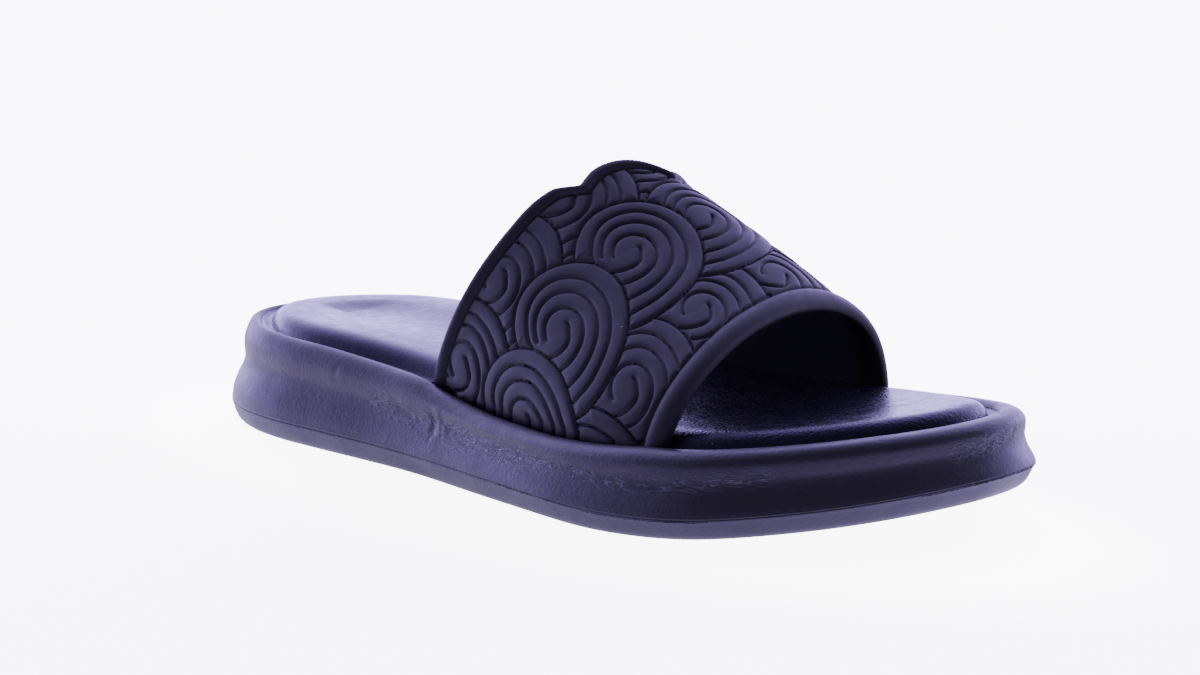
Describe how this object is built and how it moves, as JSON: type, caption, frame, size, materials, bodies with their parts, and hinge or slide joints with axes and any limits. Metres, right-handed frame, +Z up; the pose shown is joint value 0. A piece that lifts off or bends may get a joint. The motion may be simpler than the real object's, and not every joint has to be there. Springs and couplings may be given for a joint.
{
  "type": "slide sandal",
  "caption": "Right-foot slide sandal with a thick moulded sole, raised footbed pad and a wide one-piece strap with rolled beads and a scalloped rear edge.",
  "frame": {"origin": "centre of the bounding box in plan, on the ground plane under the sole", "axes": "+Y from toe to heel, +X towards the medial side (the big toe's side of a right foot), +Z up"},
  "size_m": [0.1026, 0.255, 0.0804],
  "materials": {
    "outsole": "satin moulded foam rubber, charcoal",
    "midsole": "satin moulded foam rubber with a fine skin, dark navy charcoal",
    "insole": "glossy moulded skin with a fine leather grain",
    "strap": "matt soft moulded rubber"
  },
  "bodies": {
    "root": {"outsole": "outsole", "midsole": "midsole", "insole": "insole", "strap": "strap"}
  },
  "joints": []
}
